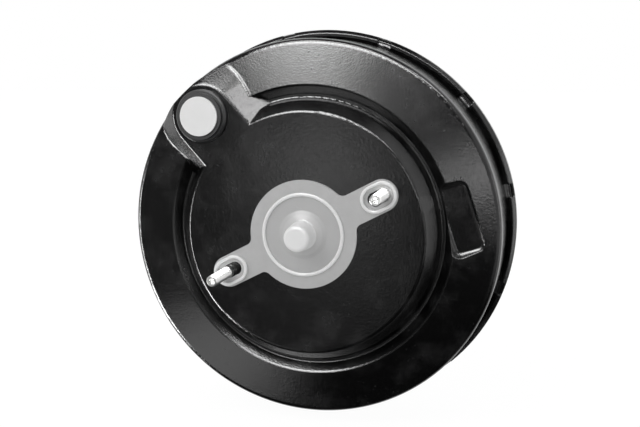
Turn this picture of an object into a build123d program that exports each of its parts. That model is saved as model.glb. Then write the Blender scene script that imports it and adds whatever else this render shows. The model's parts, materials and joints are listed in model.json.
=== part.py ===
from build123d import *
from math import cos, radians, sin, tan
import os

# Vacuum brake booster, single diaphragm.
# Frame: +Y runs back to the firewall and pedal, -Y forward to the master
# cylinder, +Z up. The origin is the centre of the firewall studs on the rear
# mounting face. A "station" is a distance forward of that face, so y = -station.

os.makedirs("parts", exist_ok=True)

# ---------------------------------------------------------------- dimensions
# Pressed steel shells
wall = 1.8
bore_r = 28.5
plateau_s = 106.3
plateau_r = 82.3
ledge_r = 88.8
ledge_drop = 8.8
groove_drop = 14.8
groove_in_r = 90.8
groove_out_r = 93.6
ring_in_r = 99.6
ring_in_drop = 9.5
ring_out_drop = 14.0
rim_r = 137.5
rim_gap = 0.4
flange_w = 4.0
side_draft = 1.3
skirt_r = rim_r - wall - rim_gap - flange_w
side_r = skirt_r - side_draft
shoulder_round = 4.5

# Crimped rim
rim_s = 47.8
bead_h = 6.0
lip_reach = 4.3
lip_h = 2.3
notch_count = 12
notch_w = 9.5
notch_phase = 11.5

# Vacuum port lobe and the clearance pocket on the front shell
port_angle = 132.3
lobe_half_w = 21.4
lobe_foot_gap = 1.8
lobe_foot_r = side_r - lobe_foot_gap
lobe_tip_r = lobe_foot_r - lobe_foot_gap
port_margin = 20.7
port_r = lobe_tip_r - port_margin
lobe_flank = 48.0
lobe_edge_round = 3.0
lobe_foot_round = 4.0
lobe_tip_round = 1.6
lobe_roof_t = 1.85
port_hole_r = 13.5
pocket_angle = 7.0
pocket_r = 104.0
pocket_len = 19.0
pocket_w = 45.0
pocket_drop = 13.6
pocket_tilt = 12.0
pocket_flank = 38.0
pocket_round = 4.0
pocket_floor_round = 3.0

# Rear shell
pad_r = 72.0
dish_r = 92.0
dish_s = 13.0
flange_root_w = 9.0
flange_root_r = rim_r - flange_root_w
outer_dish_w = 7.5
outer_dish_r = flange_root_r - outer_dish_w
outer_dish_s = 17.5
neck_r = 26.5
neck_len = 24.0
neck_lip_gap = 1.6
seal_h = 9.0
bush_h = 7.0
clip_t = 1.2

# Studs, all M8
stud_shank_r = 4.4
stud_fit = 0.15
thread_r = 3.95
stud_head_r = 8.0
stud_head_t = 2.6
stud_chamfer = 0.8
front_stud_circle_r = 61.8
front_stud_angle = 27.9
front_stud_len = 29.4
stud_cup_r = 2.0
stud_cup_depth = 2.6
stud_plate_t = 2.5
stud_plate_r = 74.0
rear_stud_x = 80.0
rear_stud_z = 60.0
rear_stud_len = 24.0
gasket_t = 1.5
gasket_margin = 13.0

# Power piston and its plate and diaphragm
tube_r = 20.0
tube_bore_r = 16.5
tube_end_s = -58.0
running_fit = 0.05
seat_gap = 0.1
lip_t = 1.2
piston_back_s = 2.2
piston_lip_r = 28.6
bead_groove_r = 27.0
plate_t = 1.5
plate_back_s = 7.2
plate_flat_r = 66.0
plate_knee_r = 88.0
plate_knee_s = 19.0
plate_edge_s = 23.0
plate_rim_s = 40.0
plate_rim_gap = 15.8
plate_rim_r = skirt_r - plate_rim_gap
plate_flare = 3.5
plate_edge_r = plate_rim_r - plate_flare
hub_r = 44.0
hub_t = 4.3
boss_r = 24.0
boss_front_s = 40.0
disc_r = 12.7
disc_t = 8.0
rubber_t = 2.0
bead_w = 4.8
roll_crest_s = 55.0
roll_gap = 0.3
roll_round = 5.2

# Output rod
rod_head_t = 4.0
rod_shank_r = 6.5
rod_tip_r = 4.6
rod_tip_s = 90.5
adjuster_len = 15.0
adjuster_hex = 11.0
rod_clearance = 0.5

# Return spring
spring_r = 35.5
spring_wire_r = 1.7
spring_turns = 6.5
spring_seat_margin = 5.5
coil_facets = 8

# Control valve
ball_r = 4.75
ball_s = 3.0
socket_gap = 0.1
valve_travel = 1.8
nose_r = 5.9
plunger_r = 8.9
plunger_shoulder_s = 14.0
nose_gap = 0.3
key_t = 2.4
key_w = 18.0
key_groove_r = 6.5
key_leg_z = 9.0
key_tip_z = 23.6
key_back_s = -0.8
key_slack = 0.4
chamber_s = -6.0
valve_seat_s = -7.5
seat_flange_r = 9.8
seat_flange_t = 2.0
rod_mouth_r = 4.0
seat_in_r = 11.4
seat_out_r = 13.4
poppet_t = 1.6
poppet_in_r = 6.0
poppet_sleeve_r = 15.2
poppet_bead_s = -25.0
poppet_bead_h = 2.5
sleeve_len = 9.0
spring_hole_r = 8.6
poppet_spring_r = 10.4
poppet_wire_r = 0.55
poppet_turns = 3.0
rod_spring_r = 9.9
rod_wire_r = 0.8
rod_spring_turns = 5.0
cup_s = -36.0
cup_r = 12.0
cup_rim = 2.5
filter_t = 8.0
filter_hole_r = 9.2

# Input rod and clevis
rod_neck_r = 3.0
rod_neck_len = 15.0
collar_r = 6.0
collar_t = 1.6
thread_run = 6.0
rod_end_s = -103.0
input_rod_r = 4.5
input_thread_r = 5.0
nut_af = 17.0
nut_t = 6.0
nut_s = -86.0
clevis_bore_s = -118.0
clevis_bore_r = 5.0
clevis_w = 18.0
clevis_ear_t = 4.5
clevis_gap = 12.0
clevis_boss_r = 9.0
clevis_boss_len = 12.0

# Dust boot
boot_t = 1.3
boot_front_s = 12.0
boot_folds = 6
boot_last_s = -74.0
boot_peak_r = 31.0
boot_valley_r = 26.0
boot_taper = 7.0
boot_grip_len = 6.0

# Transport cover
cover_t = 1.6
cover_r = 36.9
arm_w = 21.5
arm_end_r = 71.2
arm_round = 5.0
spigot_fit = 0.3
spigot_w = 2.0
spigot_len = 8.0
ring_w = 2.8
ring_h = 1.4
dome_r = 9.4
dome_h = 16.9
dome_cone_r = 16.5
dome_cone_h = 2.2
dome_draft = 0.6
cover_gap = 0.05
cover_wall = 1.5
ear_r = 58.2
ear_rim_len = 25.0
ear_rim_w = 19.0
ear_rim_t = 2.2
ear_rim_h = 2.2
ear_hole_len = 16.0
ear_hole_w = 9.2
ear_rim_round = 0.8
ejector_circle_r = 20.9
ejector_r = 2.9
ejector_mark_t = 0.15
ejector_angles = (95, 143, 268, 320)

# Grommet and port seal
grommet_r = 18.0
grommet_t = 3.2
grommet_step_r = 15.6
grommet_step_t = 2.6
grommet_round = 1.0
grommet_bore_r = 9.0
plug_disc_r = 13.2
plug_disc_t = 1.3

# ------------------------------------------------------------------- planes
# Turned profiles are drawn as (radius, station) and revolved about Y.
section = Plane(origin=(0, 0, 0), x_dir=(1, 0, 0), z_dir=(0, 0, -1))


def front(station):
    """Plane across the booster's axis, seen from the master cylinder side."""
    return Plane.XZ.offset(station)


def polar(radius, angle):
    return (radius * cos(radians(angle)), radius * sin(radians(angle)))


# ------------------------------------------------------------- front shell
groove_s = plateau_s - groove_drop
front_skin = [
    (0, plateau_s),
    (plateau_r, plateau_s),
    (ledge_r, plateau_s - ledge_drop),
    (groove_in_r, groove_s),
    (groove_out_r, groove_s),
    (ring_in_r, plateau_s - ring_in_drop),
    (side_r, plateau_s - ring_out_drop),
    (skirt_r, rim_s),
    (rim_r - wall - rim_gap, rim_s),
]
front_rounds = [2.6, 2.4, 1.2, 1.2, 2.6, shoulder_round, 2.5]

flange_r = rim_r - wall - rim_gap
flange_back_s = rim_s - wall
form_back_s = flange_back_s - wall
port = polar(port_r, port_angle)
lobe_depth = groove_drop + shoulder_round


def moved_in(corners, rounds, distance):
    """Outline parallel to a chain of rounded corners, on its right-hand side."""
    chain = [Vector(*corner) for corner in corners]
    runs = [(b - a).normalized() for a, b in zip(chain, chain[1:])]
    sides = [Vector(run.Y, -run.X) for run in runs]
    moved = [chain[0] + sides[0] * distance]
    new_rounds = []
    for corner, before, after, radius in zip(chain[1:], sides, sides[1:], rounds):
        moved.append(corner + (before + after) * (distance / (1 + before.dot(after))))
        turns_left = before.cross(after).Z > 0
        new_rounds.append(radius + distance if turns_left else radius - distance)
    moved.append(chain[-1] + sides[-1] * distance)
    return moved, new_rounds


def dish(inset):
    """Everything inside the turned skin of the front shell, moved in by the inset."""
    corners, rounds = moved_in(front_skin, front_rounds, inset)
    with BuildPart() as form:
        with BuildSketch(section):
            with BuildLine():
                skin = FilletPolyline(*corners, radius=rounds)
                Polyline(skin @ 1, (flange_r, form_back_s), (0, form_back_s), skin @ 0)
            make_face()
        revolve(axis=Axis.Y)
    return form.part


def lobe(inset, roof):
    """Raised lobe that carries the vacuum port, from the plateau outwards, untrimmed."""
    top_s = plateau_s - roof
    side_inset = inset / cos(radians(lobe_flank))
    half_w = lobe_half_w - side_inset
    reach = port_r + side_inset - inset
    spread = lobe_depth * tan(radians(lobe_flank))
    middle = polar(reach / 2, port_angle)
    with BuildPart() as form:
        with BuildSketch(front(top_s)):
            with Locations(middle):
                SlotCenterToCenter(reach, 2 * half_w, rotation=port_angle)
        with BuildSketch(front(top_s - lobe_depth)):
            with Locations(middle):
                SlotCenterToCenter(reach, 2 * (half_w + spread), rotation=port_angle)
        loft()
        fillet(form.edges().group_by(Axis.Y)[0], lobe_edge_round - inset)
    return form.part


def lobe_trim(inset, roof):
    """Turned envelope that ends the lobe just inside the shell's side."""
    top_s = plateau_s - roof
    with BuildPart() as form:
        with BuildSketch(section):
            with BuildLine():
                outline = FilletPolyline(
                    (0, top_s),
                    (lobe_tip_r - inset, top_s),
                    (lobe_foot_r - inset, top_s - lobe_depth),
                    radius=lobe_tip_round,
                )
                Polyline(outline @ 1, (0, top_s - lobe_depth), outline @ 0)
            make_face()
        revolve(axis=Axis.Y)
    return form.part


def lobe_foot(inset, lobe_form):
    """Part of the ring that the lobe stands on, with the lobe's foot blended into it."""
    corners, rounds = moved_in(front_skin, front_rounds, inset)
    groove_out, ring_in, shoulder, side = corners[4:8]
    inner = ring_in * 1.3 - shoulder * 0.3
    up = ring_in + (ring_in - groove_out) * 2
    end_r = shoulder.X - rounds[5]
    with BuildPart() as form:
        with BuildSketch(section):
            Polygon(inner, shoulder, side, (inner.X, side.Y), align=None)
        revolve(axis=Axis.Y)
        add(lobe_form)
        joined = form.edges(Select.NEW)
        fillet(
            joined.filter_by(GeomType.HYPERBOLA) + joined.filter_by(GeomType.BSPLINE),
            lobe_foot_round + inset,
        )
        with BuildSketch(section):
            Polygon(
                ring_in, up, (end_r, up.Y), (end_r, side.Y), (ring_in.X, side.Y), align=None
            )
        revolve(axis=Axis.Y, mode=Mode.INTERSECT)
    return form.part


def pocket(inset):
    """Clearance pocket beside the groove, with a floor that tilts up and out."""
    where = polar(pocket_r, pocket_angle)
    outward = (cos(radians(pocket_angle)), 0, sin(radians(pocket_angle)))
    floor = Plane(
        origin=(where[0], pocket_drop - plateau_s, where[1]),
        x_dir=outward,
        z_dir=(0, -1, 0),
    ).rotated((0, -pocket_tilt, 0))
    with BuildPart() as form:
        with BuildSketch(floor.offset(-inset)):
            RectangleRounded(pocket_len + 2 * inset, pocket_w + 2 * inset, pocket_round)
        extrude(amount=pocket_drop + inset, taper=-pocket_flank)
        fillet(form.faces().sort_by(Axis.Y)[-1].edges(), pocket_floor_round + inset)
    return form.part


def front_form(inset, roof):
    """The front shell as a solid block, from its outer skin or its inner one."""
    raised = lobe(inset, roof)
    with BuildPart() as form:
        add(raised)
        add(lobe_foot(inset, raised))
        add(lobe_trim(inset, roof), mode=Mode.INTERSECT)
        add(dish(inset))
        add(pocket(inset), mode=Mode.SUBTRACT)
    return form.part


front_outside = front_form(0, 0)
front_inside = front_form(wall, lobe_roof_t)

with BuildPart() as front_shell:
    add(front_outside)
    add(front_inside, mode=Mode.SUBTRACT)
    with Locations(front(plateau_s)):
        Hole(bore_r, depth=2 * wall)
    with Locations(front(plateau_s)):
        with Locations(port):
            Hole(port_hole_r, depth=2 * wall)
    with Locations(front(plateau_s)):
        with PolarLocations(front_stud_circle_r, 2, start_angle=front_stud_angle):
            Hole(stud_shank_r + stud_fit, depth=2 * wall)
front_shell.part.label = "front_shell"
export_step(front_shell.part, "parts/front_shell.step")

# ------------------------------------------- plate and studs behind the plateau
inside_s = plateau_s - lobe_roof_t
stud_seat_s = inside_s - stud_plate_t
front_studs = [polar(front_stud_circle_r, front_stud_angle + turn) for turn in (0, 180)]


def stud(seat, thread, tip):
    """Headed stud on the Y axis: head on its seat, thread from a station to the cupped tip."""
    way = 1 if tip > seat else -1
    with BuildPart() as one:
        with BuildSketch(section):
            with BuildLine():
                Polyline(
                    (0, seat - way * stud_head_t),
                    (stud_head_r, seat - way * stud_head_t),
                    (stud_head_r, seat),
                    (stud_shank_r, seat),
                    (stud_shank_r, thread),
                    (thread_r, thread),
                    (thread_r, tip - way * stud_chamfer),
                    (thread_r - stud_chamfer, tip),
                    (stud_cup_r, tip),
                    (stud_cup_r, tip - way * stud_cup_depth),
                    (0, tip - way * (stud_cup_depth + stud_cup_r / 2)),
                    close=True,
                )
            make_face()
        revolve(axis=Axis.Y)
    return one.part


with BuildPart() as stud_plate:
    with BuildSketch(front(stud_seat_s)):
        Circle(stud_plate_r)
        Circle(bore_r + wall, mode=Mode.SUBTRACT)
        with Locations(*front_studs):
            Circle(stud_shank_r + stud_fit, mode=Mode.SUBTRACT)
    extrude(amount=stud_plate_t)
stud_plate.part.label = "stud_plate"
export_step(stud_plate.part, "parts/stud_plate.step")

front_thread_s = plateau_s + cover_gap + cover_t + ear_rim_h + seat_gap
front_stud = stud(stud_seat_s, front_thread_s, plateau_s + front_stud_len)
with BuildPart() as master_cylinder_studs:
    with Locations(*[(x, 0, z) for x, z in front_studs]):
        add(front_stud)
master_cylinder_studs.part.label = "master_cylinder_studs"
export_step(master_cylinder_studs.part, "parts/master_cylinder_studs.step")


# -------------------------------------------------------------- rear shell
def sheet(corners, rounds, gap, thickness):
    """Section of a turned sheet that runs on the right-hand side of a chain."""
    near, near_rounds = moved_in(corners, rounds, gap)
    far, far_rounds = moved_in(corners, rounds, gap + thickness)
    with BuildSketch(section) as strip:
        with BuildLine():
            near_skin = FilletPolyline(*near, radius=near_rounds)
            far_skin = FilletPolyline(*far, radius=far_rounds)
            Line(near_skin @ 0, far_skin @ 0)
            Line(near_skin @ 1, far_skin @ 1)
        make_face()
    return strip.sketch


rim_back_s = flange_back_s - bead_h - wall
neck_bore_r = neck_r - wall
neck_lip_r = tube_r + neck_lip_gap
rear_skin = [
    (rim_r, flange_back_s),
    (rim_r, rim_back_s),
    (flange_root_r, rim_back_s),
    (outer_dish_r, outer_dish_s),
    (dish_r, dish_s),
    (pad_r, 0),
    (neck_r, 0),
    (neck_r, -neck_len),
    (neck_lip_r, -neck_len),
]
rear_rounds = [2.6, 2.0, 6.0, 8.0, 5.0, 3.0, 2.4]
lip_back_s = rim_s + seat_gap
lip_front_s = rim_s + lip_h
lip_in_r = rim_r - lip_reach
rear_studs = [
    (x * rear_stud_x / 2, z * rear_stud_z / 2) for x in (-1, 1) for z in (-1, 1)
]

with BuildPart() as rear_shell:
    add(sheet(rear_skin, rear_rounds, 0, wall))
    revolve(axis=Axis.Y)
    with BuildSketch(section):
        with BuildLine():
            Polyline(
                (rim_r - wall, flange_back_s - lip_h),
                (rim_r, flange_back_s - lip_h),
                (rim_r, lip_back_s),
                (rim_r - lip_h, lip_front_s),
                (lip_in_r + lip_h / 2, lip_front_s),
                (lip_in_r, lip_front_s - lip_h / 2),
                (lip_in_r, lip_back_s),
                (rim_r - wall, lip_back_s),
                close=True,
            )
        make_face()
    revolve(axis=Axis.Y)
    with BuildSketch(front(flange_back_s)):
        with PolarLocations(rim_r, notch_count, start_angle=notch_phase):
            Rectangle(2.5 * lip_reach, notch_w)
    extrude(amount=bead_h, mode=Mode.SUBTRACT)
    with BuildSketch(front(0)):
        with Locations(*rear_studs):
            Circle(stud_shank_r + stud_fit)
    extrude(amount=wall, mode=Mode.SUBTRACT)
rear_shell.part.label = "rear_shell"
export_step(rear_shell.part, "parts/rear_shell.step")

rear_stud = stud(wall, -gasket_t - seat_gap, -rear_stud_len)
with BuildPart() as firewall_studs:
    with Locations(*[(x, 0, z) for x, z in rear_studs]):
        add(rear_stud)
firewall_studs.part.label = "firewall_studs"
export_step(firewall_studs.part, "parts/firewall_studs.step")

with BuildPart() as mounting_gasket:
    with BuildSketch(front(-gasket_t)):
        RectangleRounded(
            rear_stud_x + 2 * gasket_margin, rear_stud_z + 2 * gasket_margin, gasket_margin
        )
        Circle(neck_r + rear_rounds[-2], mode=Mode.SUBTRACT)
        with Locations(*rear_studs):
            Circle(stud_shank_r + stud_fit, mode=Mode.SUBTRACT)
    extrude(amount=gasket_t)
mounting_gasket.part.label = "mounting_gasket"
export_step(mounting_gasket.part, "parts/mounting_gasket.step")

# ------------------------------------------------- seal stack in the rear neck
guide_r = tube_r + running_fit
packing_r = neck_bore_r - seat_gap
neck_floor_s = -neck_len + wall
seal_front_s = neck_floor_s + seal_h
bush_front_s = seal_front_s + bush_h
key_rest_s = key_back_s - seat_gap
seal_chamfer = rear_rounds[-1] - wall

with BuildPart() as neck_seal:
    with BuildSketch(section):
        with BuildLine():
            Polyline(
                (guide_r, neck_floor_s),
                (packing_r - seal_chamfer, neck_floor_s),
                (packing_r, neck_floor_s + seal_chamfer),
                (packing_r, seal_front_s - seat_gap),
                (packing_r - rubber_t, seal_front_s - seat_gap),
                (packing_r - rubber_t, neck_floor_s + seal_h / 2),
                (guide_r, neck_floor_s + seal_h / 3),
                close=True,
            )
        make_face()
    revolve(axis=Axis.Y)
neck_seal.part.label = "neck_seal"
export_step(neck_seal.part, "parts/neck_seal.step")

with BuildPart() as guide_bush:
    with BuildSketch(section):
        with BuildLine():
            Polyline(
                (guide_r, seal_front_s),
                (packing_r, seal_front_s),
                (packing_r, bush_front_s),
                (guide_r, bush_front_s),
                close=True,
            )
        make_face()
    revolve(axis=Axis.Y)
guide_bush.part.label = "guide_bush"
export_step(guide_bush.part, "parts/guide_bush.step")

with BuildPart() as seal_retainer:
    with BuildSketch(section):
        with BuildLine():
            Polyline(
                (packing_r - clip_t, bush_front_s + seat_gap),
                (packing_r, bush_front_s + seat_gap),
                (packing_r, key_rest_s),
                (neck_lip_r, key_rest_s),
                (neck_lip_r, key_rest_s - clip_t),
                (packing_r - clip_t, key_rest_s - clip_t),
                close=True,
            )
        make_face()
    revolve(axis=Axis.Y)
seal_retainer.part.label = "seal_retainer"
export_step(seal_retainer.part, "parts/seal_retainer.step")

# ------------------------------------- power piston, its plate and diaphragm
hub_back_s = plate_back_s + plate_t + seat_gap
hub_front_s = hub_back_s + hub_t
body_r = bead_groove_r + rubber_t
bead_back_s = piston_back_s + lip_t
disc_back_s = boss_front_s - seat_gap - rod_head_t - disc_t - seat_gap
shoulder_s = plunger_shoulder_s + valve_travel + key_slack
seat_recess_s = valve_seat_s + seat_flange_t + valve_travel + key_slack

with BuildPart() as power_piston:
    with BuildSketch(section):
        with BuildLine():
            Polyline(
                (disc_r, boss_front_s),
                (boss_r, boss_front_s),
                (boss_r, hub_front_s),
                (hub_r, hub_front_s),
                (hub_r, hub_back_s),
                (body_r, hub_back_s),
                (body_r, plate_back_s),
                (bead_groove_r, plate_back_s),
                (bead_groove_r, bead_back_s),
                (piston_lip_r, bead_back_s),
                (piston_lip_r, piston_back_s),
                (tube_r, piston_back_s),
                (tube_r, tube_end_s),
                (tube_bore_r, tube_end_s),
                (tube_bore_r, chamber_s),
                (seat_out_r, chamber_s),
                (seat_out_r, valve_seat_s),
                (seat_in_r, valve_seat_s),
                (seat_in_r, seat_recess_s),
                (plunger_r + running_fit, seat_recess_s),
                (plunger_r + running_fit, shoulder_s),
                (nose_r + seat_gap, shoulder_s),
                (nose_r + seat_gap, disc_back_s),
                (disc_r, disc_back_s),
                close=True,
            )
        make_face()
    revolve(axis=Axis.Y)
    with BuildSketch(front(key_back_s - key_slack)):
        with Locations((0, -key_leg_z - key_slack)):
            Rectangle(
                key_w + 2 * key_slack, tube_r + key_leg_z + key_slack, align=(Align.CENTER, Align.MIN)
            )
    extrude(amount=key_t + 2 * key_slack, mode=Mode.SUBTRACT)
power_piston.part.label = "power_piston"
export_step(power_piston.part, "parts/power_piston.step")

plate_skin = [
    (body_r + seat_gap, plate_back_s + plate_t),
    (plate_flat_r, plate_back_s + plate_t),
    (plate_knee_r, plate_knee_s + plate_t),
    (plate_edge_r, plate_edge_s + plate_t),
    (plate_rim_r, plate_rim_s),
]
plate_rounds = [6.0, 8.0, 4.0]
with BuildPart() as diaphragm_plate:
    add(sheet(plate_skin, plate_rounds, 0, plate_t))
    revolve(axis=Axis.Y)
diaphragm_plate.part.label = "diaphragm_plate"
export_step(diaphragm_plate.part, "parts/diaphragm_plate.step")

bead_mid_s = flange_back_s - bead_h / 2
diaphragm_gap = plate_t + seat_gap
lip_slope = (plate_rim_r - plate_edge_r) / (plate_rim_s - plate_edge_s - plate_t)
roll_in_r = plate_edge_r + (roll_crest_s - plate_edge_s - plate_t) * lip_slope
roll_out_r = skirt_r - wall - roll_gap + diaphragm_gap
roll_foot_s = bead_mid_s + rubber_t / 2 + diaphragm_gap
roll_skin = plate_skin[:-1] + [
    (roll_in_r, roll_crest_s),
    (roll_out_r, roll_crest_s),
    (roll_out_r, roll_foot_s),
    (flange_r - bead_w / 2, roll_foot_s),
]
roll_rounds = plate_rounds + [roll_round, roll_round, seat_gap * 2]
with BuildPart() as diaphragm:
    add(sheet(roll_skin, roll_rounds, diaphragm_gap, rubber_t))
    revolve(axis=Axis.Y)
    with BuildSketch(section):
        with Locations((flange_r - seat_gap, bead_mid_s)):
            Rectangle(bead_w, bead_h - 2 * seat_gap, align=(Align.MAX, Align.CENTER))
        with Locations((bead_groove_r + seat_gap, bead_back_s + seat_gap)):
            Rectangle(
                bead_w, plate_back_s - bead_back_s - 2 * seat_gap, align=(Align.MIN, Align.MIN)
            )
    revolve(axis=Axis.Y)
diaphragm.part.label = "diaphragm"
export_step(diaphragm.part, "parts/diaphragm.step")

# ------------------------------------------------ reaction disc and output rod
disc_front_s = disc_back_s + disc_t
head_back_s = disc_front_s + seat_gap
head_front_s = head_back_s + rod_head_t
rod_front_s = rod_tip_s - adjuster_len

with BuildPart() as reaction_disc:
    with BuildSketch(front(disc_back_s)):
        Circle(disc_r - seat_gap)
    extrude(amount=disc_t)
reaction_disc.part.label = "reaction_disc"
export_step(reaction_disc.part, "parts/reaction_disc.step")

with BuildPart() as output_rod:
    with BuildSketch(section):
        with BuildLine():
            Polyline(
                (0, head_back_s),
                (disc_r - seat_gap, head_back_s),
                (disc_r - seat_gap, head_front_s),
                (rod_shank_r, head_front_s),
                (rod_shank_r, rod_front_s),
                (0, rod_front_s),
                close=True,
            )
        make_face()
    revolve(axis=Axis.Y)
output_rod.part.label = "output_rod"
export_step(output_rod.part, "parts/output_rod.step")

with BuildPart() as rod_adjuster:
    with BuildSketch(front(rod_front_s)):
        RegularPolygon(adjuster_hex / 2, 6, major_radius=False)
    extrude(amount=adjuster_len / 3)
    with BuildSketch(section):
        with BuildLine():
            Polyline(
                (0, rod_front_s), (rod_tip_r, rod_front_s), (rod_tip_r, rod_tip_s - rod_tip_r)
            )
            RadiusArc((rod_tip_r, rod_tip_s - rod_tip_r), (0, rod_tip_s), -rod_tip_r)
            Line((0, rod_tip_s), (0, rod_front_s))
        make_face()
    revolve(axis=Axis.Y)
rod_adjuster.part.label = "rod_adjuster"
export_step(rod_adjuster.part, "parts/rod_adjuster.step")

retainer_r = boss_r + 2 * seat_gap
with BuildPart() as rod_retainer:
    with BuildSketch(section):
        with BuildLine():
            Polyline(
                (rod_shank_r + rod_clearance, boss_front_s + seat_gap),
                (retainer_r, boss_front_s + seat_gap),
                (retainer_r, hub_front_s + seat_gap),
                (spring_r + spring_seat_margin, hub_front_s + seat_gap),
                (spring_r + spring_seat_margin, hub_front_s + seat_gap + plate_t),
                (retainer_r + plate_t, hub_front_s + seat_gap + plate_t),
                (retainer_r + plate_t, boss_front_s + seat_gap + plate_t),
                (rod_shank_r + rod_clearance, boss_front_s + seat_gap + plate_t),
                close=True,
            )
        make_face()
    revolve(axis=Axis.Y)
rod_retainer.part.label = "rod_retainer"
export_step(rod_retainer.part, "parts/rod_retainer.step")


# ------------------------------------------------------------------ springs
def coil(radius, wire_r, back_s, front_s, turns):
    """Coil spring between two seats, along the booster's axis."""
    start_s = back_s + wire_r
    height = front_s - back_s - 2 * wire_r
    with BuildPart() as wound:
        with BuildLine():
            path = Helix(
                pitch=height / turns,
                height=height,
                radius=radius,
                center=(0, -start_s, 0),
                direction=(0, -1, 0),
            )
        with BuildSketch(Plane(origin=path @ 0, z_dir=path % 0)):
            RegularPolygon(wire_r, coil_facets)
        sweep()
    return wound.part


spring_back_s = hub_front_s + seat_gap + plate_t + seat_gap
spring_front_s = stud_seat_s - seat_gap
return_coil = coil(spring_r, spring_wire_r, spring_back_s, spring_front_s, spring_turns)
with BuildPart() as return_spring:
    add(return_coil)
return_spring.part.label = "return_spring"
export_step(return_spring.part, "parts/return_spring.step")

# ------------------------------------------------------------- control valve
nose_front_s = disc_back_s - valve_travel - nose_gap
groove_back_s = key_back_s - valve_travel - nose_gap
groove_front_s = key_back_s + key_t + nose_gap

with BuildPart() as valve_plunger:
    with BuildSketch(section):
        with BuildLine():
            Polyline(
                (0, nose_front_s),
                (nose_r, nose_front_s),
                (nose_r, plunger_shoulder_s),
                (plunger_r, plunger_shoulder_s),
                (plunger_r, groove_front_s),
                (key_groove_r, groove_front_s),
                (key_groove_r, groove_back_s),
                (plunger_r, groove_back_s),
                (plunger_r, valve_seat_s + seat_flange_t),
                (seat_flange_r, valve_seat_s + seat_flange_t),
                (seat_flange_r, valve_seat_s),
                (rod_mouth_r, valve_seat_s),
                (rod_mouth_r, ball_s),
                (0, ball_s),
                close=True,
            )
        make_face()
    revolve(axis=Axis.Y)
    with Locations((0, -ball_s, 0)):
        Sphere(ball_r + socket_gap, mode=Mode.SUBTRACT)
valve_plunger.part.label = "valve_plunger"
export_step(valve_plunger.part, "parts/valve_plunger.step")

key_slot_w = 2 * (key_groove_r + seat_gap)
with BuildPart() as stop_key:
    with BuildSketch(front(key_back_s)):
        with Locations((0, -key_leg_z)):
            Rectangle(key_w, key_leg_z + key_tip_z, align=(Align.CENTER, Align.MIN))
        with Locations((0, -key_leg_z)):
            Rectangle(key_slot_w, key_leg_z, align=(Align.CENTER, Align.MIN), mode=Mode.SUBTRACT)
        Circle(key_slot_w / 2, mode=Mode.SUBTRACT)
    extrude(amount=key_t)
stop_key.part.label = "stop_key"
export_step(stop_key.part, "parts/stop_key.step")

poppet_front_s = valve_seat_s - seat_gap
poppet_skin = [
    (poppet_in_r, poppet_front_s),
    (poppet_sleeve_r, poppet_front_s),
    (poppet_sleeve_r, poppet_bead_s),
]
with BuildPart() as poppet_valve:
    add(sheet(poppet_skin, [3.0], 0, poppet_t))
    revolve(axis=Axis.Y)
    with BuildSketch(section):
        with Locations((tube_bore_r - seat_gap, poppet_bead_s)):
            Rectangle(
                tube_bore_r - seat_gap - poppet_sleeve_r + poppet_t,
                poppet_bead_h,
                align=(Align.MAX, Align.MIN),
            )
    revolve(axis=Axis.Y)
poppet_valve.part.label = "poppet_valve"
export_step(poppet_valve.part, "parts/poppet_valve.step")

sleeve_out_r = poppet_sleeve_r - poppet_t - seat_gap
sleeve_in_r = sleeve_out_r - clip_t
sleeve_front_s = poppet_bead_s + sleeve_len
with BuildPart() as poppet_retainer:
    with BuildSketch(section):
        with BuildLine():
            Polyline(
                (spring_hole_r, sleeve_front_s),
                (sleeve_out_r, sleeve_front_s),
                (sleeve_out_r, poppet_bead_s - seat_gap),
                (tube_bore_r - seat_gap, poppet_bead_s - seat_gap),
                (tube_bore_r - seat_gap, poppet_bead_s - seat_gap - clip_t),
                (sleeve_in_r, poppet_bead_s - seat_gap - clip_t),
                (sleeve_in_r, sleeve_front_s - clip_t),
                (spring_hole_r, sleeve_front_s - clip_t),
                close=True,
            )
        make_face()
    revolve(axis=Axis.Y)
poppet_retainer.part.label = "poppet_retainer"
export_step(poppet_retainer.part, "parts/poppet_retainer.step")

poppet_coil = coil(
    poppet_spring_r,
    poppet_wire_r,
    sleeve_front_s + seat_gap,
    poppet_front_s - poppet_t - seat_gap,
    poppet_turns,
)
with BuildPart() as poppet_spring:
    add(poppet_coil)
poppet_spring.part.label = "poppet_spring"
export_step(poppet_spring.part, "parts/poppet_spring.step")

rod_coil = coil(
    rod_spring_r,
    rod_wire_r,
    cup_s + seat_gap,
    sleeve_front_s - clip_t - seat_gap,
    rod_spring_turns,
)
with BuildPart() as rod_return_spring:
    add(rod_coil)
rod_return_spring.part.label = "rod_return_spring"
export_step(rod_return_spring.part, "parts/rod_return_spring.step")


def foam_ring(front_s):
    """Foam ring in the piston's tube, with room for the rod to swing."""
    with BuildPart() as ring:
        with BuildSketch(front(front_s - filter_t)):
            Circle(tube_bore_r - seat_gap)
            Circle(filter_hole_r, mode=Mode.SUBTRACT)
        extrude(amount=filter_t)
    return ring.part


silencer_front_s = tube_end_s + filter_t + seat_gap
filter_ring = foam_ring(silencer_front_s + filter_t + seat_gap)
silencer_ring = foam_ring(silencer_front_s)
with BuildPart() as air_filter:
    add(filter_ring)
air_filter.part.label = "air_filter"
export_step(air_filter.part, "parts/air_filter.step")

with BuildPart() as silencer:
    add(silencer_ring)
silencer.part.label = "silencer"
export_step(silencer.part, "parts/silencer.step")

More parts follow.
